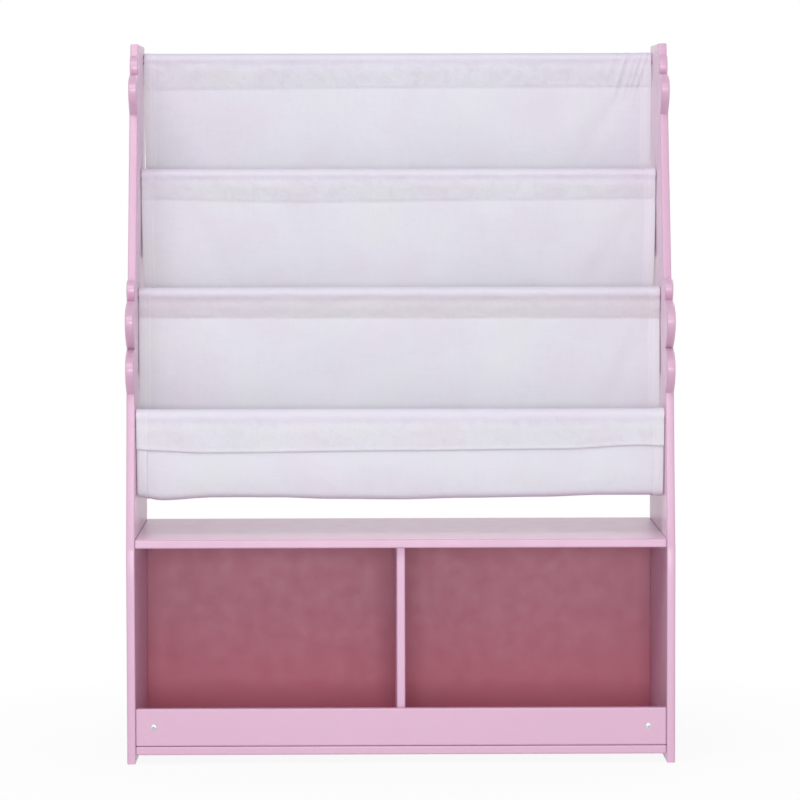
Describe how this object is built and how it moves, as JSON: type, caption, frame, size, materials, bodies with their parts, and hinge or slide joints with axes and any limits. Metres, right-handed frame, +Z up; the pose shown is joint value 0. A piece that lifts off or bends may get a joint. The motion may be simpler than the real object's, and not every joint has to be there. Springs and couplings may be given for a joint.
{
  "type": "sling bookshelf",
  "caption": "Child's sling bookshelf: canvas book pockets hung on rods between two scalloped side panels, over a base with a shelf and open compartments behind a low lip.",
  "frame": {"origin": "on the floor, under the middle of the outside box", "axes": "+Z up, +X to the right when seen from the front, -Y out of the front, +Y towards the back"},
  "size_m": [0.64, 0.288, 0.842],
  "materials": {
    "painted_board": "fibre board with a smooth pale pink satin paint",
    "canvas": "plain woven off-white cotton canvas, matt, with stitched hems",
    "painted_dowel": "softwood dowel under the same pale pink satin paint",
    "bare_wood": "bare sanded softwood",
    "zinc_screw": "bright zinc plate"
  },
  "bodies": {
    "root": {"back_panel": "painted_board", "bottom_board": "painted_board", "bottom_screw_front_left": "zinc_screw", "bottom_screw_front_right": "zinc_screw", "bottom_screw_rear_left": "zinc_screw", "bottom_screw_rear_right": "zinc_screw", "centre_divider": "painted_board", "cleat_screw_left": "zinc_screw", "cleat_screw_right": "zinc_screw", "divider_pin_front": "bare_wood", "divider_pin_rear": "bare_wood", "divider_screw_front": "zinc_screw", "divider_screw_rear": "zinc_screw", "lip_board": "painted_board", "lip_cleat_left": "painted_board", "lip_cleat_right": "painted_board", "lip_screw_left": "zinc_screw", "lip_screw_right": "zinc_screw", "rod_1_top": "painted_dowel", "rod_2_upper": "painted_dowel", "rod_3_lower": "painted_dowel", "rod_4_front": "painted_dowel", "rod_screw_1_left": "zinc_screw", "rod_screw_1_right": "zinc_screw", "rod_screw_2_left": "zinc_screw", "rod_screw_2_right": "zinc_screw", "rod_screw_3_left": "zinc_screw", "rod_screw_3_right": "zinc_screw", "rod_screw_4_left": "zinc_screw", "rod_screw_4_right": "zinc_screw", "shelf_board": "painted_board", "shelf_screw_front_left": "zinc_screw", "shelf_screw_front_right": "zinc_screw", "shelf_screw_rear_left": "zinc_screw", "shelf_screw_rear_right": "zinc_screw", "side_panel_left": "painted_board", "side_panel_right": "painted_board", "sling_pocket_front": "canvas", "sling_pocket_middle": "canvas", "sling_pocket_top": "canvas"}
  },
  "joints": []
}
